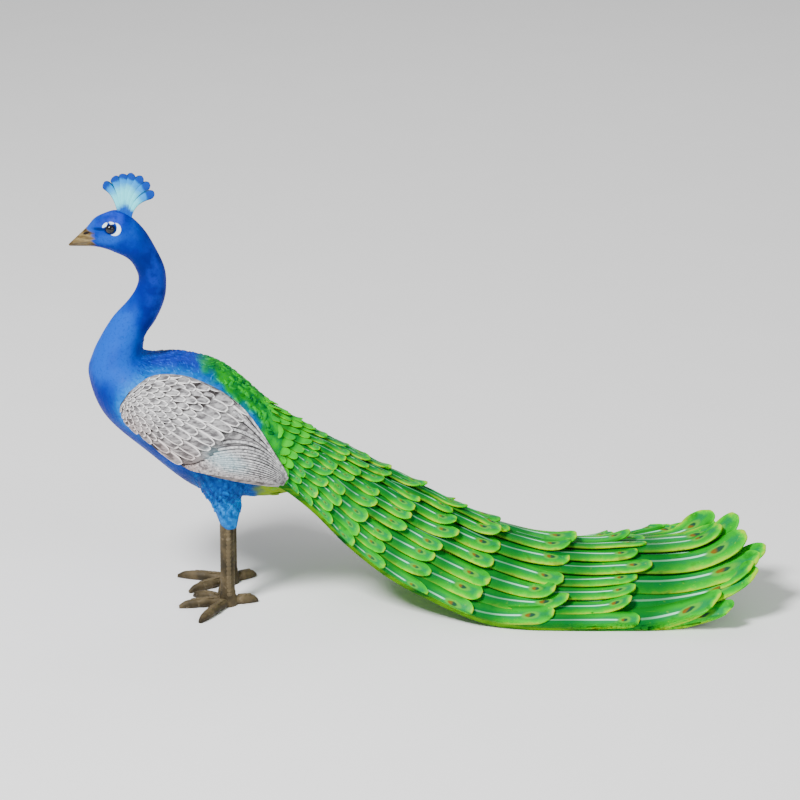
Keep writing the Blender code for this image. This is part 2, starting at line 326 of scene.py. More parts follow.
def finished(piece, kind, **settings):
    """Adds a modifier with these settings and applies it."""
    take(piece)
    modifier = piece.modifiers.new(kind.lower(), kind)
    for name, value in settings.items():
        setattr(modifier, name, value)
    bpy.ops.object.modifier_apply(modifier=modifier.name)
    return piece


def smoother(piece, levels=1):
    return finished(piece, "SUBSURF", levels=levels, render_levels=levels)


def faces_out(piece):
    edit(piece)
    bpy.ops.mesh.select_all(action="SELECT")
    bpy.ops.mesh.normals_make_consistent(inside=False)
    done()
    bpy.ops.object.shade_smooth()
    return piece


def copied(piece, name):
    take(piece)
    bpy.ops.object.duplicate(linked=False)
    return named(name)


def joined(pieces, name):
    take(pieces[0])
    for piece in pieces[1:]:
        piece.select_set(True)
    if len(pieces) > 1:
        bpy.ops.object.join()
    return named(name)


def points_of(piece):
    points = np.empty(len(piece.data.vertices) * 3)
    piece.data.vertices.foreach_get("co", points)
    return points.reshape(-1, 3)


def set_points(piece, points):
    piece.data.vertices.foreach_set("co", np.ascontiguousarray(points, dtype=np.float32).ravel())
    piece.data.update()


def corners_of(piece):
    corners = np.empty(len(piece.data.loops), dtype=np.int32)
    piece.data.loops.foreach_get("vertex_index", corners)
    return corners


def mark(piece, layer, values):
    """Writes a pair of numbers for each vertex into a UV map, for the paints to read."""
    uv = piece.data.uv_layers.get(layer) or piece.data.uv_layers.new(name=layer)
    uv.data.foreach_set("uv", np.asarray(values, dtype=np.float32)[corners_of(piece)].ravel())


def mark_all(piece, layer, first, second):
    mark(piece, layer, np.tile((first, second), (len(piece.data.vertices), 1)))


def marked(piece, layer):
    """Reads the second number of each vertex's pair back."""
    uv = np.empty(len(piece.data.loops) * 2, dtype=np.float32)
    piece.data.uv_layers[layer].data.foreach_get("uv", uv)
    values = np.zeros(len(piece.data.vertices))
    values[corners_of(piece)] = uv[1::2]
    return values


def pulled(name, rows, columns, surface):
    """A grid pulled onto a surface of two shares."""
    deselect()
    bpy.ops.mesh.primitive_grid_add(x_subdivisions=rows, y_subdivisions=columns, size=2, location=(0, 0, 0))
    piece = named(name)
    shares = (points_of(piece)[:, :2] + 1) / 2
    set_points(piece, np.array([tuple(surface(float(s), float(t))) for s, t in shares]))
    return piece


def wrapped(name, rows, columns, surface):
    """A grid pulled around into a tube, welded along its seam and closed at its ends."""
    piece = pulled(name, rows, columns, surface)
    edit(piece)
    bpy.ops.mesh.select_all(action="SELECT")
    bpy.ops.mesh.remove_doubles(threshold=0.00002)
    bpy.ops.mesh.select_all(action="SELECT")
    bpy.ops.mesh.fill_holes(sides=0)
    done()
    return faces_out(piece)


def shell(name, rows, columns, upper, lower):
    """Two grids, one over the other, bridged at their rims into a closed piece."""
    piece = joined([pulled(name, rows, columns, surface) for surface in (upper, lower)], name)
    edit(piece, "EDGE")
    bpy.ops.mesh.select_all(action="SELECT")
    bpy.ops.mesh.region_to_loop()
    bpy.ops.mesh.bridge_edge_loops()
    done()
    return faces_out(piece)


def feather_blank(name, rows, tip_part, root_width, columns, relief, subdivided):
    """A strip with a round tip and thick edges, 1 long and from -1 to 1 across; relief gives its height."""
    deselect()
    count = len(columns) - 1
    bpy.ops.mesh.primitive_grid_add(x_subdivisions=rows, y_subdivisions=count, size=2, location=(0, 0, 0))
    piece = named(name)
    points = points_of(piece)
    u = 1 - (1 - (points[:, 0] + 1) / 2) ** 1.6
    v = np.interp(points[:, 1], np.linspace(-1, 1, count + 1), columns)
    tip = np.clip((u - (1 - tip_part)) / tip_part, 0, 1)
    width = root_width + (1 - root_width) * np.clip(u / 0.6, 0, 1) ** 0.8
    width = width * np.sqrt(np.maximum(1 - tip**2.2, 0.06))
    set_points(piece, np.column_stack((u, v * width, np.zeros(len(u)))))
    mark(piece, "blank", np.column_stack((u, v)))
    finished(piece, "SOLIDIFY", thickness=1, offset=-1)
    points = points_of(piece)
    upper = points[:, 2] > -0.5
    points[upper, 2] = relief(points[upper, 0], points[upper, 1])
    set_points(piece, points)
    if subdivided:
        smoother(piece)
    return faces_out(piece)


def laid(blank, name, sheet, along, aside, heights, look):
    """A copy of the blank on a sheet: along is its root and tip, aside its middle and half width.

    Heights are in drawn millimetres over the sheet. Past the fold at the sheet's edge it drops.
    """
    piece = copied(blank, name)
    u, v, h = points_of(piece).T
    cross = aside[0] + aside[1] * v + look.get("sway", 0) * aside[1] * (u - 0.45) ** 2
    rise = heights["root"] + (heights["tip"] - heights["root"]) * np.clip(u, 0, 1) ** 0.7
    curl = heights.get("curl", 0) * np.clip((u - 0.7) / 0.3, 0, 1) ** 2
    wave = heights.get("wave", 0) * np.sin(9 * u + 6 * look.get("seed", 0)) * np.clip(2 * u - 0.6, 0, 1)
    tilt = heights.get("tilt", 0) * v * np.clip(u * 2, 0, 1)
    height = MM * (rise + curl + wave + tilt + h * heights["thick"])
    cross = cross + look.get("lean", 0) * (u - 0.4)
    height = height - MM * look.get("drop", 0) * np.maximum(np.abs(cross) - EDGE_FOLD, 0)
    cross = np.clip(cross, *look.get("within", (-9, 9)))
    place = along[0] + (along[1] - along[0]) * u + look.get("slant", 0) * cross
    set_points(piece, sheet.raised(place, cross, height))
    mark(piece, "feather", np.column_stack(((1 - u) * look["length"], v * look.get("outward", 1))))
    mark_all(piece, "kind", look.get("eyed", 1), look.get("seed", 0))
    return piece


def pinned(blank, name, place, ahead, up, size, seed):
    """A stiff copy of a small blank: it points ahead along the skin and stands up from it."""
    piece = copied(blank, name)
    ahead = (ahead - up * ahead.dot(up)).normalized()
    aside = up.cross(ahead)
    u, v, h = (points_of(piece) * size * MM).T[:, :, None]
    set_points(piece, np.array(place) + u * np.array(ahead) + v * np.array(aside) + h * np.array(up))
    u, v, h = points_of(blank).T
    mark(piece, "feather", np.column_stack(((1 - u) * size[0] / size[1], v)))
    mark_all(piece, "kind", 0, seed)
    return piece


# Paints

class Paint:
    """One finish: its shader and the nodes that feed it."""

    def __init__(self, name, **uniform):
        self.material = bpy.data.materials.new(name)
        self.material.use_nodes = True
        self.tree = self.material.node_tree
        self.shader = self.tree.nodes["Principled BSDF"]
        for socket, value in uniform.items():
            self.shader.inputs[socket.replace("_", " ")].default_value = value

    def add(self, kind, inputs=(), **settings):
        node = self.tree.nodes.new(kind)
        for name, value in settings.items():
            setattr(node, name, value)
        for socket, value in inputs:
            self.feed(node.inputs[socket], value)
        return node

    def feed(self, socket, value):
        if isinstance(value, bpy.types.NodeSocket):
            self.tree.links.new(value, socket)
        elif isinstance(value, tuple) and len(value) == 3 and socket.type == "RGBA":
            socket.default_value = (*value, 1)
        else:
            socket.default_value = value

    def place(self):
        return self.add("ShaderNodeTexCoord").outputs["Object"]

    def xyz(self, place=None):
        return self.add("ShaderNodeSeparateXYZ", [(0, place or self.place())]).outputs

    def map(self, layer):
        """The two numbers of a UV map."""
        split = self.xyz(self.add("ShaderNodeUVMap", uv_map=layer).outputs[0])
        return split[0], split[1]

    def math(self, operation, *values):
        return self.add("ShaderNodeMath", list(enumerate(values)), operation=operation).outputs[0]

    def times(self, *values):
        product = values[0]
        for value in values[1:]:
            product = self.math("MULTIPLY", product, value)
        return product

    def ease(self, value, low, high, start=0.0, end=1.0):
        """Runs smoothly from start to end as the value goes from low to high."""
        inputs = [(0, value), (1, low), (2, high), (3, start), (4, end)]
        return self.add("ShaderNodeMapRange", inputs, interpolation_type="SMOOTHSTEP").outputs[0]

    def mapped(self, stretch, turn=(0, 0, 0)):
        inputs = [("Vector", self.place()), ("Scale", stretch), ("Rotation", turn)]
        return self.add("ShaderNodeMapping", inputs).outputs[0]

    def noise(self, scale, detail=3, place=None):
        inputs = [("Vector", place or self.place()), ("Scale", scale), ("Detail", detail)]
        return self.add("ShaderNodeTexNoise", inputs).outputs[0]

    def mix(self, share, first, second, blend="MIX"):
        node = self.add("ShaderNodeMix", data_type="RGBA", blend_type=blend)
        self.feed(node.inputs[0], share)
        self.feed(node.inputs[6], first)
        self.feed(node.inputs[7], second)
        return node.outputs[2]

    def oval(self, centre, half, turn=0.0):
        """How far out a place lies in side view, in half sizes of an oval given in drawn millimetres."""
        x, _, z = self.xyz()
        dx = self.math("SUBTRACT", x, centre[0] * MM)
        dz = self.math("SUBTRACT", z, centre[1] * MM)
        c, s = math.cos(turn), math.sin(turn)
        along = self.math("ADD", self.times(dx, c), self.times(dz, s))
        over = self.math("SUBTRACT", self.times(dz, c), self.times(dx, s))
        squares = []
        for distance, reach in ((along, half[0]), (over, half[1])):
            squares.append(self.math("POWER", self.math("DIVIDE", distance, reach * MM), 2.0))
        return self.math("SQRT", self.math("ADD", *squares))

    def finish(self, colour, rough, height, strength, distance):
        node = self.add("ShaderNodeBump", [("Height", height), ("Strength", strength), ("Distance", distance)])
        self.tree.links.new(node.outputs[0], self.shader.inputs["Normal"])
        self.feed(self.shader.inputs["Base Color"], colour)
        self.feed(self.shader.inputs["Roughness"], rough)
        return self.material


def feather_green():
    """Train feathers: a pale shaft, an eye, teal beside the shaft and a yellow outer rim."""
    paint = Paint("train feather paint", Specular_IOR_Level=0.03)
    back, across = paint.map("feather")
    eyed, _ = paint.map("kind")
    share, straight = paint.map("blank")
    wander = paint.noise(75, 4)
    drift = paint.math("SUBTRACT", wander, 0.5)
    side = paint.math("MULTIPLY_ADD", drift, 0.7, paint.math("ABSOLUTE", across))
    outer = paint.math("MULTIPLY_ADD", drift, 0.9, across)
    rim = paint.math("MULTIPLY_ADD", drift, 0.35, paint.math("ABSOLUTE", straight))
    teal, leaf, lime, yellow = (0.0, 0.25, 0.055), (0.0, 0.38, 0.012), (0.03, 0.60, 0.0), (0.42, 0.66, 0.0)
    shade = paint.mix(paint.ease(side, 0.12, 0.5), teal, leaf)
    shade = paint.mix(paint.ease(outer, 0.40, 0.82), shade, lime)
    shade = paint.mix(paint.ease(rim, 0.80, 0.98, 0.0, 0.8), shade, lime)
    shade = paint.mix(paint.ease(outer, 0.70, 1.0, 0.0, 0.9), shade, yellow)
    tip = paint.math("MULTIPLY_ADD", drift, 1.3, back)
    shade = paint.mix(paint.ease(tip, 0.65, 0.2), shade, lime)
    shade = paint.mix(paint.ease(tip, 0.32, 0.02, 0.0, 0.85), shade, yellow)
    plain = paint.mix(paint.ease(paint.noise(45, 3), 0.35, 0.65), (0.0, 0.34, 0.02), (0.02, 0.56, 0.0))
    plain = paint.mix(paint.ease(rim, 0.72, 1.05), plain, (0.17, 0.62, 0.0))
    shade = paint.mix(paint.ease(eyed, 0.2, 0.8), plain, shade)
    shade = paint.mix(paint.times(paint.ease(wander, 0.55, 0.72), 0.6), shade, (0.0, 0.15, 0.012))
    shade = paint.mix(paint.ease(paint.noise(160, 3), 0.64, 0.74, 0.0, 0.4), shade, (0.30, 0.66, 0.01))
    middle = paint.ease(eyed, 0.75, 1.0, 1.3, 2.0)
    shaft = paint.ease(paint.math("SUBTRACT", back, middle), 0.6, 1.0)
    shaft = paint.times(paint.ease(paint.math("ABSOLUTE", across), 0.11, 0.04), shaft, paint.ease(eyed, 0.3, 0.6))
    shade = paint.mix(shaft, shade, (0.40, 1.0, 0.62))
    size = paint.ease(eyed, 0.75, 1.0, 0.6, 1.0)
    eye_back = paint.math("DIVIDE", paint.math("DIVIDE", paint.math("SUBTRACT", back, middle), 0.85), size)
    eye_side = paint.math("DIVIDE", paint.math("DIVIDE", across, 0.40), size)
    eye = paint.math("ADD", paint.math("POWER", eye_back, 2.0), paint.math("POWER", eye_side, 2.0))
    eye = paint.math("MULTIPLY_ADD", drift, 0.7, paint.math("SQRT", eye))
    ring = paint.times(paint.ease(eye, 1.15, 0.7), eyed)
    heart = paint.times(paint.ease(eye, 0.60, 0.38), eyed)
    shade = paint.mix(paint.times(ring, 0.5), shade, (0.16, 0.55, 0.004))
    spot = paint.mix(paint.ease(eye_back, 0.22, -0.12), (0.20, 0.065, 0.008), (0.006, 0.025, 0.04))
    shade = paint.mix(paint.times(heart, 0.88), shade, spot)
    # Painted shade: dark green over each feather's root, where the row above shades it.
    painted_root_shade = paint.ease(share, 0.74, 0.48, 0.0, 0.8)
    shade = paint.mix(painted_root_shade, shade, (0.0, 0.10, 0.014))
    # Painted shade: dark green along each eyed feather's inner edge, under its neighbour's overlap.
    painted_edge_shade = paint.times(paint.ease(across, -0.52, -0.9, 0.0, 0.8), paint.ease(back, 0.8, 1.6), eyed)
    shade = paint.mix(painted_edge_shade, shade, (0.0, 0.12, 0.008))
    rough = paint.ease(paint.noise(220, 2), 0.3, 0.7, 0.25, 0.42)
    return paint.finish(shade, rough, paint.noise(230, 3), 0.3, 0.0007)


def underside_green():
    """The train's plain underside and edges."""
    paint = Paint("train underside paint", Specular_IOR_Level=0.05)
    streaks = paint.noise(50, 4, paint.mapped((0.3, 1.0, 1.5)))
    shade = paint.mix(paint.ease(streaks, 0.36, 0.62), (0.0, 0.10, 0.008), (0.12, 0.36, 0.0))
    rough = paint.ease(paint.noise(90, 2), 0.3, 0.7, 0.4, 0.6)
    return paint.finish(shade, rough, paint.noise(120, 3), 0.3, 0.001)


def neck_blue(paint):
    """The blues that run from the beak to the thighs."""
    broad = paint.noise(16, 4)
    breast = paint.ease(paint.oval((-364, 322), (46, 62), 0.2), 1.3, 0.3, 0.0, 0.22)
    shade = paint.mix(paint.ease(paint.math("ADD", broad, breast), 0.44, 0.74), (0.0, 0.012, 0.25), (0.0, 0.080, 0.52))
    _, _, z = paint.xyz()
    # Painted shade: darker blue on the front of the neck under the head, and on the lower body.
    painted_throat_shade = paint.ease(paint.oval((-338, 424), (34, 22), 0.3), 1.15, 0.35)
    painted_shade = paint.math("MAXIMUM", painted_throat_shade, paint.ease(z, 0.215, 0.165))
    shade = paint.mix(paint.times(painted_shade, 0.6), shade, (0.0, 0.010, 0.13))
    cheek = paint.ease(paint.oval((-370, 458), (20, 8), 0.2), 1.3, 0.3)
    shade = paint.mix(paint.times(cheek, 0.7), shade, (0.0, 0.09, 0.58))
    lores = paint.ease(paint.oval((EYE_AT[0] - 12, EYE_AT[1] - 0.8), (10, 2.2), 0.05), 1.3, 0.4)
    return paint.mix(paint.times(lores, 0.8), shade, (0.0, 0.004, 0.06))


def horn(paint):
    """The beak's gold-brown, its share, 1 on the beak and 0 behind the border, and its streaks."""
    streaks = paint.noise(110, 3, paint.mapped((0.25, 1.0, 1.6), (0, 0.55, 0)))
    gold = paint.mix(paint.ease(streaks, 0.35, 0.65), (0.065, 0.038, 0.010), (0.25, 0.18, 0.075))
    x, _, z = paint.xyz()
    off = paint.math("ABSOLUTE", paint.math("SUBTRACT", z, 455 * MM))
    bow = paint.math("POWER", paint.math("DIVIDE", off, 13 * MM), 2.0)
    behind = paint.math("ADD", paint.math("MULTIPLY_ADD", bow, 10 * MM, x), 386 * MM)
    behind = paint.math("MULTIPLY_ADD", paint.math("SUBTRACT", streaks, 0.5), 30 * MM, behind)
    return gold, paint.ease(behind, 3 * MM, -3 * MM), streaks


def plumage_blue():
    """The body: deep blue neck, violet back and crown, light blue around the wings, green rump."""
    paint = Paint("body plumage paint", Specular_IOR_Level=0.05)
    green, halo = paint.map("zone")
    violet, raised = paint.map("part")
    fine, mottled = paint.noise(190, 4), paint.noise(60, 3)
    royal, light = (0.012, 0.045, 0.46), (0.0, 0.27, 0.80)
    _, _, z = paint.xyz()
    shade = neck_blue(paint)
    gold, share, _ = horn(paint)
    shade = paint.mix(share, shade, gold)
    shade = paint.mix(paint.times(violet, paint.ease(mottled, 0.38, 0.62, 0.15, 1.0)), shade, royal)
    shade = paint.mix(paint.times(halo, paint.ease(fine, 0.35, 0.65, 0.55, 1.0)), shade, light)
    leaf = paint.mix(paint.ease(paint.noise(70, 4), 0.35, 0.65), (0.0, 0.20, 0.025), (0.0, 0.46, 0.01))
    leaf = paint.mix(paint.ease(z, 0.19, 0.16), leaf, (0.20, 0.32, 0.0))
    shade = paint.mix(green, shade, leaf)
    shade = paint.mix(paint.ease(paint.noise(420, 2), 0.46, 0.34, 0.0, 0.25), shade, (0.0, 0.014, 0.16))
    # Painted shade between the raised strokes and along their sides, and a painted highlight along their middles.
    shade = paint.mix(paint.ease(raised, 0.12, 0.50, 0.9, 0.0), shade, (0.10, 0.26, 0.46), "MULTIPLY")
    lit = paint.mix(green, (0.0, 0.20, 0.80), (0.03, 0.56, 0.0))
    shade = paint.mix(paint.ease(raised, 0.60, 1.0, 0.0, 0.35), shade, lit)
    eye_x, eye_z = EYE_AT
    crescent = paint.ease(paint.oval((eye_x + 5.2, eye_z - 0.2), (7.6, 7.4)), 1.06, 0.96)
    hollow = paint.ease(paint.oval((eye_x + 0.6, eye_z + 1.6), (7.4, 7.8)), 0.96, 1.06)
    before = paint.ease(paint.oval((eye_x - 6.4, eye_z + 4.2), (4.0, 1.6), 0.75), 1.12, 0.88)
    above = paint.ease(paint.oval((eye_x + 1.6, eye_z + 7.0), (3.2, 1.1), -0.15), 1.12, 0.88)
    patch = paint.math("MAXIMUM", paint.times(crescent, hollow), paint.math("MAXIMUM", before, above))
    socket = paint.ease(paint.oval((eye_x + 0.3, eye_z), (7.6, 6.6)), 1.15, 0.8)
    shade = paint.mix(paint.times(socket, 0.8), shade, (0.0, 0.004, 0.05))
    shade = paint.mix(patch, shade, (0.78, 0.92, 0.97))
    rough = paint.ease(fine, 0.3, 0.7, 0.38, 0.55)
    hairs = paint.noise(170, 4, paint.mapped((1.0, 1.0, 0.4), (0, 0.4, 0)))
    return paint.finish(shade, rough, hairs, 0.7, 0.0014)


def wing_silver():
    """Wing feathers: streaked grey with pale rims, and ribbed silver quills; warmer at the lower front."""
    paint = Paint("wing feather paint", Specular_IOR_Level=0.15)
    back, _ = paint.map("feather")
    quill, _ = paint.map("kind")
    share, straight = paint.map("blank")
    edge = paint.math("ABSOLUTE", straight)
    speck, streak = paint.noise(330, 3), paint.noise(170, 4, paint.mapped((0.6, 1.0, 1.6), (0, 0.5, 0)))
    shade = paint.mix(paint.ease(streak, 0.36, 0.64), (0.11, 0.105, 0.11), (0.42, 0.415, 0.42))
    rim = paint.math("MAXIMUM", paint.ease(edge, 0.58, 0.80), paint.ease(back, 0.50, 0.28))
    shade = paint.mix(paint.times(rim, 0.9), shade, (0.97, 0.955, 0.95))
    # Painted shadow: dark along each feather's edges and very tip, and over its root where the row above lies on it. At
    # the edges and tip it also stands for the casting's dark wash.
    gap = paint.math("MAXIMUM", paint.ease(edge, 0.89, 0.98), paint.ease(back, 0.10, 0.02))
    gap = paint.math("MAXIMUM", gap, paint.ease(share, 0.50, 0.38))
    shade = paint.mix(paint.times(gap, 0.95), shade, (0.022, 0.018, 0.018))
    rib = paint.mix(paint.ease(edge, 0.92, 0.45), (0.03, 0.028, 0.030), (0.46, 0.46, 0.47))
    glint = paint.times(paint.ease(speck, 0.53, 0.66, 0.0, 0.8), paint.ease(edge, 0.8, 0.4))
    rib = paint.mix(glint, rib, (0.86, 0.86, 0.86))
    rib = paint.mix(paint.ease(speck, 0.46, 0.36, 0.0, 0.75), rib, (0.09, 0.085, 0.09))
    shade = paint.mix(quill, shade, rib)
    x, _, z = paint.xyz()
    warm = paint.math("MULTIPLY_ADD", x, -0.55, paint.times(z, -1.0))
    warm = paint.times(paint.ease(warm, -0.09, -0.03), paint.ease(paint.noise(25, 3), 0.3, 0.6, 0.4, 0.95))
    shade = paint.mix(paint.times(warm, 0.8), shade, (0.76, 0.55, 0.50), "MULTIPLY")
    cool = paint.ease(paint.oval((-232, 200), (34, 15), -0.5), 1.2, 0.2)
    shade = paint.mix(paint.times(cool, 0.35), shade, (0.34, 0.66, 0.76))
    rough = paint.ease(speck, 0.3, 0.7, 0.45, 0.65)
    return paint.finish(shade, rough, paint.noise(330, 3), 0.35, 0.0007)


def leg_brown():
    """Shanks, toes and claws: grey-brown, tan on the plates, towards the toes' tops and in specks."""
    paint = Paint("leg paint", Specular_IOR_Level=0.2)
    raised, _ = paint.map("part")
    shade = paint.mix(paint.ease(paint.noise(60, 4), 0.32, 0.68), (0.026, 0.019, 0.008), (0.095, 0.070, 0.034))
    shade = paint.mix(paint.ease(raised, 0.3, 1.0, 0.0, 0.4), shade, (0.19, 0.145, 0.08))
    shade = paint.mix(paint.ease(paint.noise(200, 3), 0.6, 0.75, 0.0, 0.4), shade, (0.24, 0.185, 0.11))
    rough = paint.ease(paint.noise(120, 2), 0.3, 0.7, 0.5, 0.7)
    return paint.finish(shade, rough, paint.noise(300, 4), 0.5, 0.001)


def beak_gold():
    """The beak: streaked gold-brown, running into the blue of the head."""
    paint = Paint("beak paint", Specular_IOR_Level=0.25, Coat_Weight=0.12, Coat_Roughness=0.25)
    gold, share, streaks = horn(paint)
    shade = paint.mix(share, neck_blue(paint), gold)
    mouth, _ = paint.map("part")
    shade = paint.mix(paint.times(mouth, share, 0.7), shade, (0.03, 0.018, 0.010))
    nostril = paint.ease(paint.oval((-396, 463), (4.5, 1.4), 0.42), 1.15, 0.75)
    shade = paint.mix(nostril, shade, (0.012, 0.008, 0.008))
    rough = paint.ease(streaks, 0.3, 0.7, 0.28, 0.42)
    return paint.finish(shade, rough, streaks, 0.3, 0.0007)


def crest_aqua():
    """The crest's plumes: blue tips and roots with pale aqua between."""
    paint = Paint("crest paint", Specular_IOR_Level=0.12, Coat_Weight=0.05, Coat_Roughness=0.3)
    back, across = paint.map("feather")
    fine = paint.noise(170, 3)
    up = paint.math("MULTIPLY_ADD", paint.math("SUBTRACT", fine, 0.5), 0.15, back)
    shade = paint.mix(paint.ease(up, 0.55, 0.24), (0.12, 0.80, 0.92), (0.0, 0.26, 0.74))
    shade = paint.mix(paint.ease(up, 0.24, 0.14), shade, (0.0, 0.045, 0.34))
    shade = paint.mix(paint.ease(up, 0.68, 0.84), shade, (0.0, 0.08, 0.48))
    side = paint.math("ABSOLUTE", across)
    shade = paint.mix(paint.ease(side, 0.70, 0.92, 0.0, 0.9), shade, (0.0, 0.05, 0.11))
    rough = paint.ease(fine, 0.3, 0.7, 0.35, 0.55)
    return paint.finish(shade, rough, paint.noise(300, 2), 0.2, 0.0005)


def eye_black():
    paint = Paint("eye paint", Specular_IOR_Level=0.3, Coat_Weight=0.2, Coat_Roughness=0.06)
    shade = paint.mix(paint.ease(paint.noise(300, 2), 0.4, 0.7), (0.004, 0.004, 0.006), (0.02, 0.015, 0.012))
    return paint.finish(shade, paint.ease(paint.noise(90, 2), 0.3, 0.7, 0.08, 0.16), paint.noise(90, 2), 0.03, 0.0002)


def pale_floor():
    paint = Paint("pale floor")
    shade = paint.mix(paint.noise(8, 2), (0.92, 0.92, 0.92), (0.95, 0.95, 0.95))
    return paint.finish(shade, 0.9, paint.noise(40, 2), 0.02, 0.001)


# The train

SCALE_COLUMNS = (-1, -0.5, 0, 0.5, 1)
FEATHER_COLUMNS = (-1, -0.86, -0.45, -0.12, 0, 0.12, 0.45, 0.86, 1)


def scale_relief(u, v):
    return 0.9 * (1 - v**2)


def feather_relief(u, v):
    fading = np.clip((0.86 - u) / 0.1, 0, 1)
    return 0.9 * (1 - v**2) + 0.9 * np.exp(-((v / 0.1) ** 2)) * fading + 0.35 * (np.abs(v) > 0.7)


def train_base():
    """The closed form under the feathers."""

    def upper(s, t):
        return train_top(s * BASE_REACH, BASE_SPREAD * (2 * t - 1))

    def lower(s, t):
        return train_underside(s * BASE_REACH, BASE_SPREAD * (2 * t - 1))

    return shell("train", 72, 44, upper, lower)


def train_feathers(sheet, rng):
    """Rows of feathers, from plain scales at the root to long eyed feathers at the end."""
    small = feather_blank("small feather", 5, 0.34, 0.8, SCALE_COLUMNS, scale_relief, True)
    middle = feather_blank("middle feather", 6, 0.17, 0.65, FEATHER_COLUMNS, feather_relief, True)
    long = feather_blank("long feather", 12, 0.10, 0.6, FEATHER_COLUMNS, feather_relief, True)
    rows = []
    for row, end in enumerate((*FEATHER_ENDS, 0.995)):
        blank = small if row < SMALL_ROWS else middle if row < MIDDLE_ROWS else long
        start = FEATHER_ENDS[min(row, 14) - 2] if row > 1 else -0.03
        below = row == len(FEATHER_ENDS)
        length = end - start
        share = (row + 1) / len(FEATHER_ENDS)
        count = FEATHERS_PER_ROW[row]
        half = (1.15 if row < 14 else 1.3) * FEATHER_SPREAD / (count - 1)
        edge = OUTER_EDGE - EDGE_STEP * row
        pieces = []
        for feather in range(count):
            middle_place = FEATHER_SPREAD * (2 * feather / (count - 1) - 1)
            outward = 1 if middle_place > 0 else -1
            outermost = feather in (0, count - 1)
            tip = min(end + rng.uniform(-0.12, 0.08) * length, LAST_TIP)
            ridge = 4.5 * math.exp(-((middle_place / 0.3) ** 2)) * min(max((share - 0.45) / 0.25, 0), 1)
            heights = {
                "root": -1.5 + ridge - 3 * below,
                "tip": (1.6 + 5.0 * share**1.5) * rng.uniform(0.85, 1.2) + ridge - 7 * below,
                "curl": (0.8 + 5.0 * share**2) * rng.choice((0.2, 0.6, 1.0, 2.0)) + 3 * below,
                "wave": 1.2 * share * rng.uniform(0.3, 1),
                "tilt": outward * (0.5 + 2.0 * share) * (-1.0 if outermost else 1),
                "thick": 0.8 + 1.1 * share,
            }
            wide = TRAIN_STATIONS[min(row, 13)][4] * half
            look = {
                "length": (TRAIN_STATIONS[-1][0] - TRAIN_STATIONS[0][0]) * length / max(wide, 4),
                "eyed": 0 if row < 5 else 0.75 if row < 9 else 0.88 if row < 11 else 1,
                "seed": rng.random(),
                "sway": rng.uniform(-1.8, 1.8),
                "outward": outward,
                "lean": rng.uniform(-0.5, 0.5) * half,
                "within": (-edge, edge),
                "drop": wide / half,
            }
            name = f"feather {row}-{feather}"
            width = half * rng.uniform(0.9, 1.15)
            pieces.append(laid(blank, name, sheet, (start, tip), (middle_place, width), heights, look))
        row_piece = joined(pieces, f"train row {row}")
        points = points_of(row_piece)
        points[:, 2] = np.maximum(points[:, 2], 0.3 * MM)
        set_points(row_piece, points)
        rows.append(row_piece)
    for blank in (small, middle, long):
        bpy.data.objects.remove(blank)
    near_root = faces_out(joined(rows[:ROOT_ROWS], "train_scales"))
    return near_root, faces_out(joined(rows[ROOT_ROWS:], "train_long_feathers"))


# The wings

def wing_sheet(side):
    surface = wing_point(side)
    sheet = Sheet(surface, (0, 1), (0, 1), (60, 30))
    if side == NEAR:
        sheet.normals = -sheet.normals
    return sheet


def wing_shell(side, sheet):
    """The wing's plain bed: its upper surface and a lower one sunk into the body."""

    def upper(s, t):
        return sheet.raised(np.array(s), np.array(t), np.array(0.0))

    def lower(s, t):
        point = upper(s, t)
        point[1] -= side * 14 * MM
        return point

    piece = shell("wing", 50, 26, upper, lower)
    mark_all(piece, "feather", 1.0, 0.4)
    mark_all(piece, "blank", 0.8, 0.4)
    mark_all(piece, "kind", 0, 0)
    return piece


def place_on(sheet, x, z):
    """Where on the sheet these places of the side view lie."""
    flat = sheet.points[:, :, [0, 2]]
    nodes = flat.reshape(-1, 2)
    want = np.column_stack((x, z))
    nearest = np.argmin(((want[:, None] - nodes[None]) ** 2).sum(axis=2), axis=1)
    row, column = np.divmod(nearest, flat.shape[1])
    s, t = row * sheet.pitch[0], column * sheet.pitch[1]
    for _ in range(6):
        here = sheet.read(flat, s, t)
        ds = (sheet.read(flat, s + 1e-3, t) - here) / 1e-3
        dt = (sheet.read(flat, s, t + 1e-3) - here) / 1e-3
        gap = want - here
        area = ds[:, 0] * dt[:, 1] - ds[:, 1] * dt[:, 0]
        s = np.clip(s + (gap[:, 0] * dt[:, 1] - gap[:, 1] * dt[:, 0]) / area, 0, 1.01)
        t = np.clip(t + (ds[:, 0] * gap[:, 1] - ds[:, 1] * gap[:, 0]) / area, -0.01, 1.01)
    return s, t


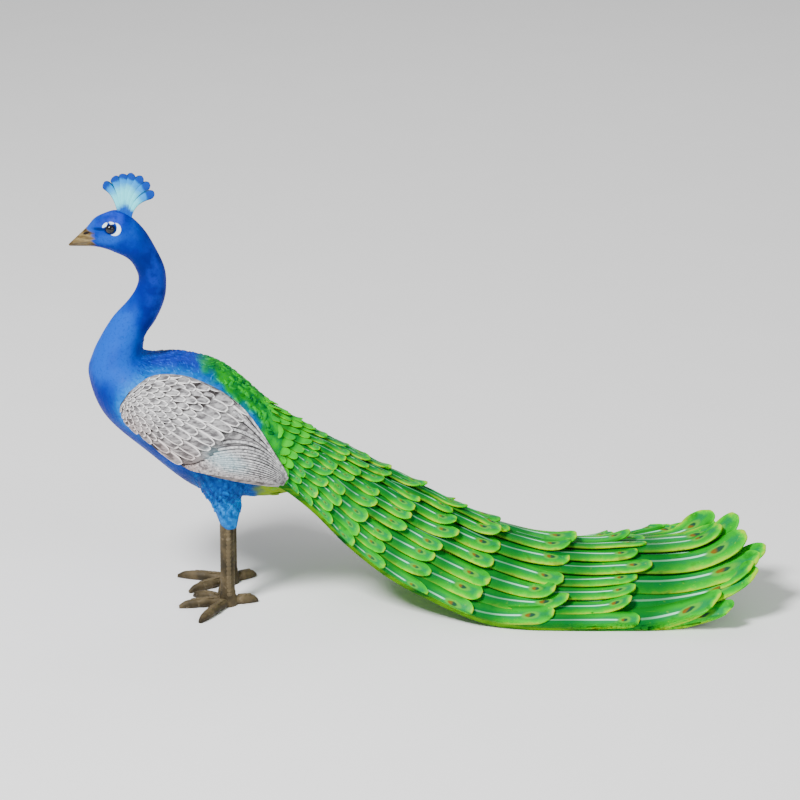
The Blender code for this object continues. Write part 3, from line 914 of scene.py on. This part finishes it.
def curved_quill(blank, name, sheet, share, seed):
    """A quill along its own curve: the upper ones bend round the wing's trailing edge to its tip."""
    piece = copied(blank, name)
    u, v, h = points_of(piece).T
    line = float(np.interp(share, (0, 0.2, 0.5, 1), (0, 1, 2, 3)))
    first_x, first_z, bend_x, bend_z, last_x, last_z = spline(QUILL_LINES, line)
    w = 1.35 * u - 0.35
    x = (1 - w) ** 2 * first_x + 2 * w * (1 - w) * bend_x + w**2 * last_x
    z = (1 - w) ** 2 * first_z + 2 * w * (1 - w) * bend_z + w**2 * last_z
    run_x = 2 * (1 - w) * (bend_x - first_x) + 2 * w * (last_x - bend_x)
    run_z = 2 * (1 - w) * (bend_z - first_z) + 2 * w * (last_z - bend_z)
    run = np.hypot(run_x, run_z)
    half = 0.40 + 2.2 * (1 - np.clip(w, 0, 1))
    x, z = x - run_z / run * half * v, z + run_x / run * half * v
    s, t = place_on(sheet, x * MM, z * MM)
    set_points(piece, sheet.raised(s, t, MM * (0.6 + 1.0 * u + 1.6 * h)))
    mark(piece, "feather", np.column_stack(((1 - u) * 18, v)))
    mark_all(piece, "kind", 1, seed)
    return piece


def quill_relief(u, v):
    return 1.5 * (1 - np.abs(v)) ** 0.8


def cover_relief(u, v):
    return 0.9 * (1 - v**2) + 0.6 * np.exp(-((v / 0.12) ** 2)) * np.clip((0.9 - u) / 0.1, 0, 1)


def wing_feathers(side, sheet, rng):
    """Rows of round scales, then two of long covers, over quills that run to the wing's tip."""
    scale = feather_blank("wing scale", 5, 0.6, 0.85, SCALE_COLUMNS, scale_relief, True)
    cover = feather_blank("wing cover", 7, 0.3, 0.7, FEATHER_COLUMNS, cover_relief, True)
    quill = feather_blank("wing quill", 18, 0.06, 0.9, SCALE_COLUMNS, quill_relief, True)
    pieces = []
    for number in range(QUILLS):
        pieces.append(curved_quill(quill, f"quill {number}", sheet, number / (QUILLS - 1), rng.random()))
    for row, end in enumerate(WING_ROWS):
        long = row >= SCALE_ROWS
        start = WING_ROWS[row - 2] if row > 1 else -0.02
        start = start - 0.03 if long else start
        upper = sheet.raised(np.array(end), np.array(0.0), np.array(0.0))
        lower = sheet.raised(np.array(end), np.array(1.0), np.array(0.0))
        height = np.linalg.norm(upper - lower) / MM
        count = max(round(height / (9.0 if long else 8.4)), 3)
        slant = -WING_SLANT * min(end / 0.5, 1)
        for feather in range(-(row % 2), count):
            half = 0.60 / count
            stagger = feather + 0.5 * (row % 2) + rng.uniform(-0.08, 0.08)
            down = half * 0.6 + (1 - 1.4 * half) * stagger / (count - 0.5)
            flat = 0.3 if down < 0.13 else 1.0
            heights = {
                "root": -1.0,
                "tip": (4.2 if long else 3.6) * rng.uniform(0.85, 1.15) * flat,
                "curl": rng.uniform(0.0, 0.8) * flat,
                "tilt": rng.uniform(-0.1, 0.6),
                "thick": 1.1,
            }
            look = {
                "length": (end - start) * 215 / (height * half),
                "eyed": 0,
                "seed": rng.random(),
                "slant": slant,
                "sway": rng.uniform(-0.7, 0.7),
                "lean": rng.uniform(-0.25, 0.25) * half,
                "within": (0.0 if side == NEAR else 0.04, 1.01),
            }
            blank = cover if long else scale
            tip = end + rng.uniform(-0.006, 0.006)
            name = f"wing feather {row}-{feather}"
            pieces.append(laid(blank, name, sheet, (start, tip), (down, half), heights, look))
    for blank in (scale, cover, quill):
        bpy.data.objects.remove(blank)
    return faces_out(joined(pieces, "wing_feathers"))


# Body and head

def wing_distance(points):
    """How far places lie outside the wing's outline in side view, in drawn millimetres."""
    outline = [spline(WING_UPPER, i / 4) for i in range(25)]
    outline += [spline(WING_LOWER, i / 4) for i in range(24, -1, -1)]
    flat = points[:, [0, 2]] / MM
    nearest = np.full(len(flat), 1e9)
    inside = np.zeros(len(flat), dtype=bool)
    for a, b in zip(outline, outline[1:] + outline[:1]):
        a, b = np.array(a), np.array(b)
        edge = b - a
        share = np.clip(((flat - a) @ edge) / (edge @ edge), 0, 1)
        nearest = np.minimum(nearest, np.linalg.norm(flat - a - share[:, None] * edge, axis=1))
        crossing = (a[1] > flat[:, 1]) != (b[1] > flat[:, 1])
        at = a[0] + (flat[:, 1] - a[1]) * edge[0] / (edge[1] if edge[1] else 1e-9)
        inside ^= crossing & (flat[:, 0] < at)
    return np.where(inside, 0, nearest)


def ramp(values, low, high):
    share = np.clip((values - low) / (high - low), 0, 1)
    return share * share * (3 - 2 * share)


def rump_line(z):
    """How far forward the green of the rump starts at this height."""
    return np.minimum(-266 + 1.05 * (305 - np.minimum(z, 306)), -198)


def body_zones(piece, raised):
    """Marks where the paint turns green, light blue and violet, and what stands up."""
    points = points_of(piece)
    x, y, z = points.T / MM
    wander = 3 * np.sin(x * 0.31 + z * 0.17) + 2 * np.sin(z * 0.43 - x * 0.11 + 2)
    rump = ramp(x - rump_line(z) + wander, -6, 10)
    distance = wing_distance(points)
    halo = np.exp(-((distance / 7) ** 1.2)) * ramp(np.abs(y), 18, 34) * ramp(z, 190, 225)
    thigh = ramp(z, 205, 180) * ramp(x, -285, -270) * ramp(x, -190, -205) * 0.45 + 0.55 * ramp(z, 148, 132)
    light = np.maximum(halo * 0.95, thigh * (0.75 + 0.25 * np.sin(x * 0.5 + z * 0.35)))
    back = ramp(z, 283, 300) * ramp(x, -335, -315) * ramp(np.abs(y), 48, 30)
    crown = ramp(z, 470, 481) * ramp(x, -348, -355) * ramp(x, -392, -384)
    violet = np.maximum(back, crown)
    stroked = np.maximum(ramp(distance, 38, 24), ramp(z, 284, 296)) * ramp(x, -344, -326)
    stroked = stroked * ramp(x, -186, -196) * ramp(z, 190, 205)
    scalloped = ramp(z, 205, 185) * ramp(x, -290, -275) * ramp(x, -185, -200) * ramp(z, 112, 124)
    stroked = np.maximum(stroked, scalloped)
    # The skin among the strokes gets a lower value, which the plumage paint darkens as painted shade.
    raised = np.where(raised == 0.5, 0.5 - 0.2 * stroked, raised)
    mark(piece, "zone", np.column_stack((rump, light)))
    mark(piece, "part", np.column_stack((violet, raised)))


def thigh_point(side):
    def surface(s, t):
        z, x, half_length, half_width = spline(THIGH_STATIONS, s * (len(THIGH_STATIONS) - 1))
        angle = math.tau * t
        return MM * Vector((x + half_length * math.cos(angle), side * STANCE / 2 + half_width * math.sin(angle), z))

    return surface


def stroke_relief(u, v):
    return 1.0 * (1 - v**2) * np.clip(u * 3, 0, 1)


COMMA_BENDS = (-3.2, -1.5, 0.0, 1.5, 3.2)
STROKED_BACK = (12.6, 18.6)
STROKES_PER_RING = 34
SCALLOP_ROWS = 14
SCALLOPS_PER_ROW = 15


def bent_stroke(blank, name, bend):
    """A comma of short plumage."""
    piece = copied(blank, name)
    points = points_of(piece)
    points[:, 1] += bend * (points[:, 0] - 0.3) ** 2
    set_points(piece, points)
    return piece


def drawn(rng, *ranges):
    """A length, half width and height drawn from their ranges."""
    return tuple(rng.uniform(low, high) for low, high in ranges)


def back_strokes(skin, commas, rng):
    """Short strokes on the back, the rump and around the wings."""
    spots = []
    at, last = STROKED_BACK
    while at < last:
        step = 0.17 if at > 14.5 else 0.12
        for number in range(STROKES_PER_RING):
            angle = math.pi * (0.98 * (number + rng.random()) / STROKES_PER_RING - 0.49) * 1.05
            spots.append((at + rng.uniform(-0.5, 0.5) * step, angle))
        at += step
    pieces = []
    for at, angle in spots:
        _, place, up, _ = skin.closest_point_on_mesh(body_point(at, angle))
        x, y, z = place / MM
        distance = float(wing_distance(np.array([place]))[0])
        if distance < 1.5 and abs(y) > 22 or x > -183:
            continue
        green = x > rump_line(z)
        if not green and (distance > 34 and z < 292 or x < -335):
            continue
        ahead, spread = Vector((1, 0, -0.35)), 0.9
        if distance < 16 and not green:
            ahead, spread = Vector((x + 262, 0, (z - 236) * 1.2)).normalized(), 0.35
        turned = Matrix.Rotation(rng.uniform(-spread, spread), 3, up) @ ahead
        size = drawn(rng, (4.5, 7), (1.0, 1.6), (0.8, 1.1))
        if green:
            size = drawn(rng, (6, 9), (1.3, 2.0), (0.8, 1.3))
        if green and x > -232:
            size = drawn(rng, (9, 11), (3.0, 4.0), (0.9, 1.3))
        pieces.append(pinned(rng.choice(commas), "stroke", place - up * 0.4 * MM, turned, up, size, rng.random()))
        if len(pieces) > 90:
            pieces = [joined(pieces, "strokes")]
    return pieces


def thigh_scallops(skin, commas, rng):
    """Rows of scallops down both thighs."""
    pieces = []
    for side in (NEAR, FAR):
        surface = thigh_point(side)
        for row in range(SCALLOP_ROWS):
            share = 0.14 + row * 0.041
            for number in range(SCALLOPS_PER_ROW):
                turn = (number + 0.5 * (row % 2) + rng.uniform(-0.2, 0.2)) / SCALLOPS_PER_ROW
                place = surface(share, turn)
                _, spot, up, _ = skin.closest_point_on_mesh(place)
                if (spot - place).length > 5 * MM:
                    continue
                ahead = Vector((rng.uniform(-0.4, 0.4), 0, -1))
                size = drawn(rng, (7, 9), (2.4, 3.3), (0.9, 1.3))
                spot = spot - up * 0.2 * MM
                pieces.append(pinned(rng.choice(commas[1:4]), "scallop", spot, ahead, up, size, rng.uniform(0.2, 0.5)))
    return pieces


def undertail(skin, commas, rng):
    """Larger strokes under the root of the train."""
    pieces = []
    for row in range(5):
        for number in range(12):
            angle = math.pi + 1.5 * ((number + 0.5 * (row % 2)) / 11.5 * 2 - 1)
            _, spot, up, _ = skin.closest_point_on_mesh(body_point(17.3 + 0.42 * row, angle))
            size = drawn(rng, (11, 15), (3.0, 4.4), (0.8, 1.3))
            ahead = Vector((1, rng.uniform(-0.3, 0.3), -0.05))
            spot = spot - up * 0.2 * MM
            pieces.append(pinned(rng.choice(commas[1:4]), "undertail", spot, ahead, up, size, rng.random()))
    return pieces


def skin_strokes(skin, rng):
    """All the short plumage that stands up from the skin."""
    blank = feather_blank("stroke", 4, 0.5, 0.5, (-1, 0, 1), stroke_relief, False)
    commas = [bent_stroke(blank, f"comma {i}", bend) for i, bend in enumerate(COMMA_BENDS)]
    pieces = back_strokes(skin, commas, rng)
    pieces += thigh_scallops(skin, commas, rng)
    pieces += undertail(skin, commas, rng)
    for piece in (blank, *commas):
        bpy.data.objects.remove(piece)
    return joined(pieces, "strokes")


def body_skin(rng):
    """Neck, trunk and thighs in one skin, with its raised strokes."""
    trunk = wrapped("body", 150, 56, lambda s, t: body_point(0.9 + 19.1 * s, math.tau * t))
    thighs = [wrapped("thigh", 20, 28, thigh_point(side)) for side in (NEAR, FAR)]
    piece = joined([trunk, *thighs], "body")
    finished(piece, "REMESH", mode="VOXEL", voxel_size=1.9 * MM)
    finished(piece, "SMOOTH", factor=0.5, iterations=4)
    strokes = skin_strokes(piece, rng)
    plain = len(piece.data.vertices)
    across, tone = marked(strokes, "feather"), marked(strokes, "kind")
    piece = joined([piece, strokes], "body")
    raised = np.full(len(piece.data.vertices), 0.5)
    # Each stroke's value follows its random tone and falls towards its sides. The plumage paint turns low values into
    # painted shade and high ones into a painted highlight.
    raised[plain:] = np.where(tone < 0.15, 0.25, 0.51 + 0.45 * tone - 0.2 * np.abs(across))
    body_zones(piece, raised)
    return faces_out(piece)


def beak():
    """Both halves of the beak, with the line of the mouth between."""

    def surface(s, t):
        at = 0.02 + 2.35 * s
        angle = math.tau * t
        back_x, back_z, belly_x, belly_z, _ = spline(BODY_STATIONS, at)
        centre = MM * Vector(((back_x + belly_x) / 2, 0, (back_z + belly_z) / 2))
        point = body_point(at, angle)
        groove = math.exp(-(((abs(math.pi - angle) - 0.95) / 0.16) ** 2)) * min(1, s * 3) * min(1, (1 - s) * 4)
        swell = 1.035 - 0.05 * s - 0.09 * groove
        return centre + (point - centre) * swell

    piece = wrapped("beak", 40, 48, surface)
    x, _, z = points_of(piece).T / MM
    line = 448 + 0.16 * (x + 416) - z
    mouth = np.exp(-((line / 0.9) ** 2)) * ramp(x, -416, -409)
    mark(piece, "part", np.column_stack((mouth, 0 * x)))
    return piece


def eyes():
    """Black glass-like eyes, a little sunk."""
    pieces = []
    for side in (NEAR, FAR):
        place = (EYE_AT[0] * MM, side * 14.8 * MM, EYE_AT[1] * MM)
        deselect()
        bpy.ops.mesh.primitive_uv_sphere_add(
            segments=32, ring_count=16, radius=6.1 * MM, location=place, rotation=(math.pi / 2, 0, 0),
        )
        ball = named("eye")
        bpy.ops.object.transform_apply(location=True, rotation=True, scale=True)
        pieces.append(ball)
    return faces_out(joined(pieces, "eyes"))


def eyelids():
    """A raised rim around each eye."""
    pieces = []
    for side in (NEAR, FAR):
        place = (EYE_AT[0] * MM, side * 17.2 * MM, EYE_AT[1] * MM)
        deselect()
        bpy.ops.mesh.primitive_torus_add(
            location=place, rotation=(math.pi / 2, 0, 0), major_radius=5.6 * MM, minor_radius=0.8 * MM,
            major_segments=36, minor_segments=10,
        )
        ring = named("eyelid")
        bpy.ops.object.transform_apply(location=True, rotation=True, scale=True)
        pieces.append(ring)
    piece = joined(pieces, "eyelids")
    mark_all(piece, "zone", 0, 0)
    mark_all(piece, "part", 0.2, 0.2)
    return faces_out(piece)


def crest():
    """Seven plumes fanning from the crown."""
    blank = feather_blank("plume", 14, 0.16, 0.95, (-1, -0.8, -0.4, 0, 0.4, 0.8, 1), scale_relief, True)
    pieces = []
    for number, (tip_x, tip_z) in enumerate(PLUME_TIPS):
        root = Vector((CREST_ROOT[0] + (number - 3) * 2.1 + 1.5, 0, CREST_ROOT[1] - 7))
        end = Vector((tip_x, 0, tip_z))
        knee = root + Vector((0.04 * (end.x - root.x), 0, 0.80 * (end.z - root.z)))
        piece = copied(blank, f"plume {number}")
        u, v, depth = points_of(piece).T
        upper = depth > -0.4
        curve, slope = [], []
        for a, b, c in zip(root, knee, end):
            curve.append((1 - u) ** 2 * a + 2 * u * (1 - u) * b + u**2 * c)
            slope.append(2 * (1 - u) * (b - a) + 2 * u * (c - b))
        run = np.hypot(slope[0], slope[2])
        half = 1.6 + 5.2 * np.clip(u, 0, 1) ** 1.2
        depth = np.where(upper, -1, 1) * (0.8 + 1.3 * (1 - v**2) * (0.4 + 0.6 * u)) + 0.25 * (number % 2)
        x = curve[0] + slope[2] / run * half * v
        z = curve[2] - slope[0] / run * half * v
        set_points(piece, MM * np.column_stack((x, depth, z)))
        mark(piece, "feather", np.column_stack((1 - u, v)))
        mark_all(piece, "kind", 0, 0)
        pieces.append(piece)
    bpy.data.objects.remove(blank)
    return faces_out(joined(pieces, "crest"))


# Legs

def shank_point(side):
    heights = (
        (SHANK_TOP + 24, 0.9), (SHANK_TOP + 4, 0.98), (90, 1.0), (60, 0.95),
        (22, 1.0), (12, 1.18), (5, 1.33), (0, 1.33),
    )

    def surface(s, t):
        z, swell = spline(heights, s * (len(heights) - 1))
        angle = math.tau * t
        radius = SHANK_RADIUS * swell
        x, y = SHANK_X + radius * math.cos(angle), side * STANCE / 2 + radius * math.sin(angle)
        return MM * Vector((x, y, max(z, 0)))

    return surface


def toe_direction(side, heading):
    turn = math.radians(180 - side * (heading + FOOT_HEADINGS[side]))
    return Vector((math.cos(turn), math.sin(turn), 0))


def toe_piece(side, heading, share):
    """One toe with its joints, flat below, and a blunt claw."""
    ahead = toe_direction(side, heading)
    aside = Vector((-ahead.y, ahead.x, 0))
    hub = Vector((SHANK_X, side * STANCE / 2, 0))
    profile = ((0, 1.05), (0.28, 0.9), (0.5, 1.0), (0.74, 0.86), (0.88, 0.72), (1.0, 0.34))

    def surface(s, t):
        along, swell = spline(profile, s * (len(profile) - 1))
        joints = 1 + 0.05 * math.cos(along * 26) * (along < 0.8)
        angle = math.tau * t
        radius = TOE_RADIUS * swell * joints
        centre = hub + ahead * (along * share * MIDDLE_TOE) + Vector((0, 0, TOE_RADIUS * swell * 0.8))
        point = centre + radius * (aside * math.cos(angle) + Vector((0, 0, math.sin(angle))))
        point.z = max(point.z, 0)
        return MM * point

    return wrapped("toe", 36, 20, surface)


def legs(rng):
    """Shanks with their plates, and the feet."""
    plate = feather_blank("plate", 3, 0.7, 0.9, SCALE_COLUMNS, scale_relief, True)
    pieces = []
    for side in (NEAR, FAR):
        hub = Vector((SHANK_X, side * STANCE / 2, 0))
        shank = wrapped("shank", 48, 28, shank_point(side))
        mark_all(shank, "part", 0.35, 0)
        pieces.append(shank)
        for heading, share in TOES:
            toe = toe_piece(side, heading, share)
            z = points_of(toe)[:, 2] / MM
            mark(toe, "part", np.column_stack((np.clip(z / 14, 0, 1), np.zeros(len(z)))))
            pieces.append(toe)
            ahead = toe_direction(side, heading)
            for number in range(int(6 * share)):
                along = 12 + number * 5.4
                swell = 1.0 - 0.35 * max(0, along / (MIDDLE_TOE * share) - 0.5)
                place = MM * (hub + ahead * along + Vector((0, 0, TOE_RADIUS * swell * 1.72)))
                scute = pinned(plate, "scute", place, ahead, Vector((0, 0, 1)), (6.2, 3.6, 0.7), rng.random())
                mark_all(scute, "part", 0.9, 0)
                pieces.append(scute)
        outside = math.pi / 2 * side
        for column, facing in enumerate((outside - 0.25 * side, math.pi, 0.0, -outside)):
            for number in range(17):
                z = 108 - number * 5.6 - (column % 2) * 2.8
                up = Vector((math.cos(facing), math.sin(facing), 0))
                radius = SHANK_RADIUS * (1.0 if z > 20 else 1.1) - 0.5
                place = MM * (Vector((SHANK_X, side * STANCE / 2, z)) + up * radius)
                scute = pinned(plate, "scute", place, Vector((0, 0, -1)), up, (6.4, 3.4, 0.75), rng.random())
                mark_all(scute, "part", 0.9, 0)
                pieces.append(scute)
    bpy.data.objects.remove(plate)
    return faces_out(joined(pieces, "legs"))


def dress(piece, material):
    piece.data.materials.clear()
    piece.data.materials.append(material)
    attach(piece, "root")
    return piece


# The studio

def studio():
    deselect()
    bpy.ops.mesh.primitive_plane_add(size=30, location=(0, 0, 0))
    floor = named("floor")
    floor.data.materials.append(pale_floor())
    world = bpy.data.worlds.new("studio")
    bpy.context.scene.world = world
    world.use_nodes = True
    colour, strength = world.node_tree.nodes["Background"].inputs[:2]
    colour.default_value = (1, 1, 1, 1)
    strength.default_value = 0.32
    for name, place, size, power in (
        ("key light", (-1.8, -2.0, 3.4), 1.0, 300),
        ("fill light", (2.4, -2.4, 1.8), 2.0, 50),
        ("back light", (0.5, 2.5, 2.5), 2.0, 20),
    ):
        bpy.ops.object.light_add(type="AREA", location=place)
        light = bpy.context.active_object
        light.name = name
        light.data.size = size
        light.data.energy = power
        light.rotation_euler = (Vector((0, 0, 0.2)) - Vector(place)).to_track_quat("-Z", "Y").to_euler()


def camera():
    """Five metres away on the left of the bird, looking 20 degrees down."""
    target = Vector((-0.0255, 0, 0.2507))
    elevation = math.radians(20)
    place = target + 5.0 * Vector((0, -math.cos(elevation), math.sin(elevation)))
    bpy.ops.object.camera_add(location=place)
    eye = bpy.context.active_object
    eye.name = "camera"
    eye.rotation_euler = (target - place).to_track_quat("-Z", "Y").to_euler()
    eye.data.lens = 187.5
    eye.data.sensor_width = 36
    bpy.context.scene.camera = eye


deselect()
rng = random.Random(7)
camera()
studio()

blue = plumage_blue()
body = dress(body_skin(rng), blue)
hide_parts("peacock")
dress(eyelids(), blue)
dress(beak(), beak_gold())
dress(eyes(), eye_black())
dress(crest(), crest_aqua())

silver = wing_silver()
for side, name in ((NEAR, "near"), (FAR, "far")):
    bed = wing_sheet(side)
    dress(wing_shell(side, bed), silver).name = f"{name}_wing"
    dress(wing_feathers(side, bed, rng), silver).name = f"{name}_wing_feathers"

dress(legs(rng), leg_brown())

green = feather_green()
train_sheet = Sheet(train_top, (0, 1), (-1, 1), (200, 60))
dress(train_base(), underside_green())
for feathers in train_feathers(train_sheet, rng):
    dress(feathers, green)
